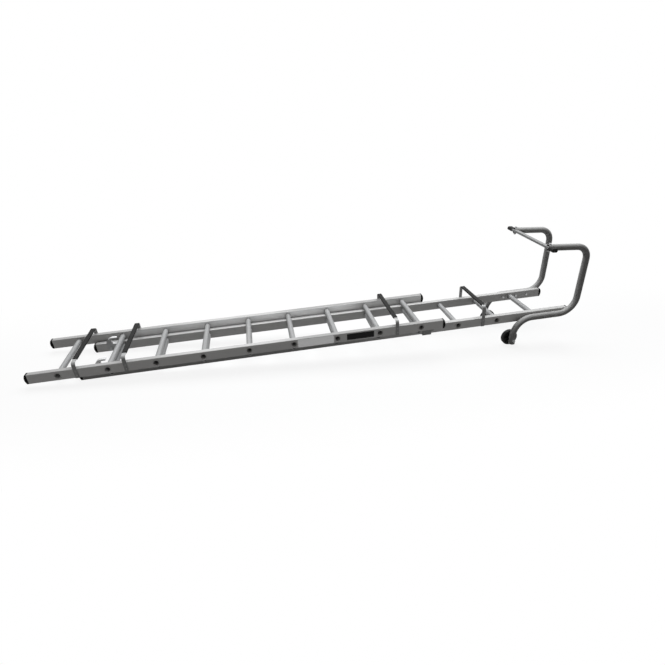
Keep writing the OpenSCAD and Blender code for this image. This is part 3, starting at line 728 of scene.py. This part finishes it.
class LADDER_OT_finish_rubbers(bpy.types.Operator):
    """Rubber on the bearer and ridge bar sleeves"""
    bl_idname = "ladder.finish_rubbers"
    bl_label = "Finish rubbers"

    def execute(self, context):
        rubber = moulded_black("black_rubber", finish_plan().rubber_colour,
                               roughness=0.7, specular=0.16, grain_scale=600.0, dust=0.8)
        dress_slot("black_rubber", rubber)
        return {"FINISHED"}


class LADDER_OT_finish_wheels(bpy.types.Operator):
    """Moulded plastic on the wheels"""
    bl_idname = "ladder.finish_wheels"
    bl_label = "Finish wheels"

    def execute(self, context):
        plastic = moulded_black("wheel_plastic", finish_plan().wheel_colour,
                                roughness=0.5, specular=0.15, grain_scale=700.0, dust=0.6)
        dress_slot("wheel_plastic", plastic)
        return {"FINISHED"}


class LADDER_OT_plates(bpy.types.Operator):
    """Bare plates on the right base stile"""
    bl_idname = "ladder.plates"
    bl_label = "Bare plates"

    def execute(self, context):
        plan = plate_plan()
        grey = plate_film("grey_plate_film", plan.long_colour, metallic=0.35, specular=SATIN_SPECULAR)
        black = plate_film("black_plate_film", plan.short_colour, metallic=0.0, specular=0.1)
        long_plate = bare_plate(plan.long_start, plan.long_length, plan.long_height)
        settle(long_plate, "bare_plate_long", grey, "base_section")
        short_plate = bare_plate(plan.short_start, plan.short_length, plan.short_height)
        settle(short_plate, "bare_plate_short", black, "base_section")
        return {"FINISHED"}


class LADDER_OT_stage(bpy.types.Operator):
    """Floor, light and camera"""
    bl_idname = "ladder.stage"
    bl_label = "Stage"

    def execute(self, context):
        make_floor()
        make_world()
        make_lamps()
        make_camera()
        context.scene.view_settings.view_transform = "Standard"
        return {"FINISHED"}


def seen_directly(nodes, links):
    """1 for camera, glossy and transmission rays, 0 for the rest."""
    path = nodes.new("ShaderNodeLightPath")
    first = nodes.new("ShaderNodeMath")
    first.operation = "MAXIMUM"
    links.new(path.outputs["Is Camera Ray"], first.inputs[0])
    links.new(path.outputs["Is Glossy Ray"], first.inputs[1])
    second = nodes.new("ShaderNodeMath")
    second.operation = "MAXIMUM"
    links.new(first.outputs["Value"], second.inputs[0])
    links.new(path.outputs["Is Transmission Ray"], second.inputs[1])
    return second.outputs["Value"]


def whiter_far_off(nodes, links, near, far):
    """Passes from the near shader to the far one with the distance, which counts less along the ladder."""
    place = nodes.new("ShaderNodeTexCoord")
    shortened = nodes.new("ShaderNodeVectorMath")
    shortened.operation = "MULTIPLY"
    shortened.inputs[1].default_value = (FLOOR_LENGTHWISE_SHARE, 1.0, 1.0)
    links.new(place.outputs["Object"], shortened.inputs[0])
    distance = nodes.new("ShaderNodeVectorMath")
    distance.operation = "LENGTH"
    links.new(shortened.outputs["Vector"], distance.inputs[0])
    ease = nodes.new("ShaderNodeMapRange")
    ease.interpolation_type = "SMOOTHSTEP"
    ease.inputs["From Min"].default_value = FLOOR_WHITE_FROM
    ease.inputs["From Max"].default_value = FLOOR_WHITE_AT
    links.new(distance.outputs["Value"], ease.inputs["Value"])
    mix = nodes.new("ShaderNodeMixShader")
    links.new(ease.outputs["Result"], mix.inputs["Fac"])
    links.new(near.outputs["Shader"], mix.inputs[1])
    links.new(far.outputs["Emission"], mix.inputs[2])
    return mix.outputs["Shader"]


def floor_material():
    """White to look at with a faint shadow, and a dark grey that sends little light back up."""
    material = bpy.data.materials.new("studio_floor")
    material.use_nodes = True
    nodes = material.node_tree.nodes
    links = material.node_tree.links
    nodes.clear()
    glow = nodes.new("ShaderNodeEmission")
    glow.inputs["Color"].default_value = (*PURE_WHITE, 1.0)
    glow.inputs["Strength"].default_value = 1.0
    paint = nodes.new("ShaderNodeBsdfDiffuse")
    paint.inputs["Color"].default_value = (*shade(PURE_WHITE, FLOOR_PAINT), 1.0)
    shown = nodes.new("ShaderNodeMixShader")
    shown.inputs["Fac"].default_value = FLOOR_PAINT_SHARE
    links.new(glow.outputs["Emission"], shown.inputs[1])
    links.new(paint.outputs["BSDF"], shown.inputs[2])
    bounce = nodes.new("ShaderNodeBsdfDiffuse")
    bounce.inputs["Color"].default_value = (*shade(PURE_WHITE, FLOOR_BOUNCE), 1.0)
    surface = nodes.new("ShaderNodeMixShader")
    links.new(seen_directly(nodes, links), surface.inputs["Fac"])
    links.new(bounce.outputs["BSDF"], surface.inputs[1])
    links.new(whiter_far_off(nodes, links, shown, glow), surface.inputs[2])
    output = nodes.new("ShaderNodeOutputMaterial")
    links.new(surface.outputs["Shader"], output.inputs["Surface"])
    return material


def make_floor():
    """Pale floor that the ladder lies on."""
    deselect_everything()
    bpy.ops.mesh.primitive_plane_add(size=FLOOR_SIZE, location=(0.0, 0.0, 0.0))
    floor = bpy.context.active_object
    floor.name = "studio_floor"
    floor.data.materials.append(floor_material())


def make_world():
    """White to look at, and a low even light on the object."""
    world = bpy.data.worlds.new("studio_world")
    bpy.context.scene.world = world
    world.use_nodes = True
    nodes = world.node_tree.nodes
    links = world.node_tree.links
    nodes.clear()
    seen = nodes.new("ShaderNodeBackground")
    seen.inputs["Color"].default_value = (*PURE_WHITE, 1.0)
    seen.inputs["Strength"].default_value = 1.0
    light = nodes.new("ShaderNodeBackground")
    light.inputs["Color"].default_value = (*WARM_WHITE, 1.0)
    light.inputs["Strength"].default_value = stage_plan().sky_level
    mix = nodes.new("ShaderNodeMixShader")
    links.new(seen_directly(nodes, links), mix.inputs["Fac"])
    links.new(light.outputs["Background"], mix.inputs[1])
    links.new(seen.outputs["Background"], mix.inputs[2])
    output = nodes.new("ShaderNodeOutputWorld")
    links.new(mix.outputs["Shader"], output.inputs["Surface"])


def soft_lamp(name, place, aim, size, power, colour):
    """A large rectangular lamp that points at aim."""
    deselect_everything()
    bpy.ops.object.light_add(type="AREA", location=place)
    lamp = bpy.context.active_object
    lamp.name = name
    lamp.data.shape = "RECTANGLE"
    lamp.data.size = size[0]
    lamp.data.size_y = size[1]
    lamp.data.energy = power
    lamp.data.color = colour
    lamp.rotation_euler = (Vector(aim) - Vector(place)).to_track_quat("-Z", "Y").to_euler()


def make_lamps():
    """A strong soft lamp overhead and a weak one in front."""
    plan = stage_plan()
    soft_lamp("key_lamp", KEY_PLACE, KEY_AIM, KEY_SIZE, plan.key_power, COOL_WHITE)
    soft_lamp("fill_lamp", FILL_PLACE, FILL_AIM, FILL_SIZE, plan.fill_power, WARM_WHITE)


def make_camera():
    """The camera at the photograph's place and lens."""
    plan = stage_plan()
    deselect_everything()
    bpy.ops.object.camera_add(location=plan.camera_place, rotation=plan.camera_turn)
    camera = bpy.context.active_object
    camera.name = "photo_camera"
    camera.data.sensor_width = SENSOR_WIDTH
    camera.data.lens = plan.lens
    camera.data.shift_x = plan.shift_x
    camera.data.shift_y = plan.shift_y
    camera.data.dof.use_dof = False
    camera.data.clip_start = CLIP_START
    camera.data.clip_end = CLIP_END
    bpy.context.scene.camera = camera


STEPS = (
    LADDER_OT_finish_stiles,
    LADDER_OT_finish_rungs,
    LADDER_OT_finish_strips,
    LADDER_OT_finish_castings,
    LADDER_OT_finish_tubes,
    LADDER_OT_finish_fasteners,
    LADDER_OT_finish_caps,
    LADDER_OT_finish_rubbers,
    LADDER_OT_finish_wheels,
    LADDER_OT_plates,
    LADDER_OT_stage,
)


class LADDER_PT_panel(bpy.types.Panel):
    """Steps that dress the ladder"""
    bl_idname = "LADDER_PT_panel"
    bl_label = "Roof Ladder"
    bl_space_type = "VIEW_3D"
    bl_region_type = "UI"
    bl_category = "Roof Ladder"

    def draw(self, context):
        for step in STEPS:
            self.layout.operator(step.bl_idname)
        scene = context.scene
        for group in (scene.ladder_finish, scene.ladder_plates, scene.ladder_stage):
            box = self.layout.box()
            for name in group.__annotations__:
                box.prop(group, name)


CLASSES = (LADDER_PG_finish, LADDER_PG_plates, LADDER_PG_stage, *STEPS, LADDER_PT_panel)


def register():
    for item in CLASSES:
        bpy.utils.register_class(item)
    bpy.types.Scene.ladder_finish = bpy.props.PointerProperty(type=LADDER_PG_finish)
    bpy.types.Scene.ladder_plates = bpy.props.PointerProperty(type=LADDER_PG_plates)
    bpy.types.Scene.ladder_stage = bpy.props.PointerProperty(type=LADDER_PG_stage)


def unregister():
    del bpy.types.Scene.ladder_stage
    del bpy.types.Scene.ladder_plates
    del bpy.types.Scene.ladder_finish
    for item in reversed(CLASSES):
        bpy.utils.unregister_class(item)


def main():
    register()
    for step in STEPS:
        group, name = step.bl_idname.split(".")
        getattr(getattr(bpy.ops, group), name)()


if __name__ == "__main__":
    main()
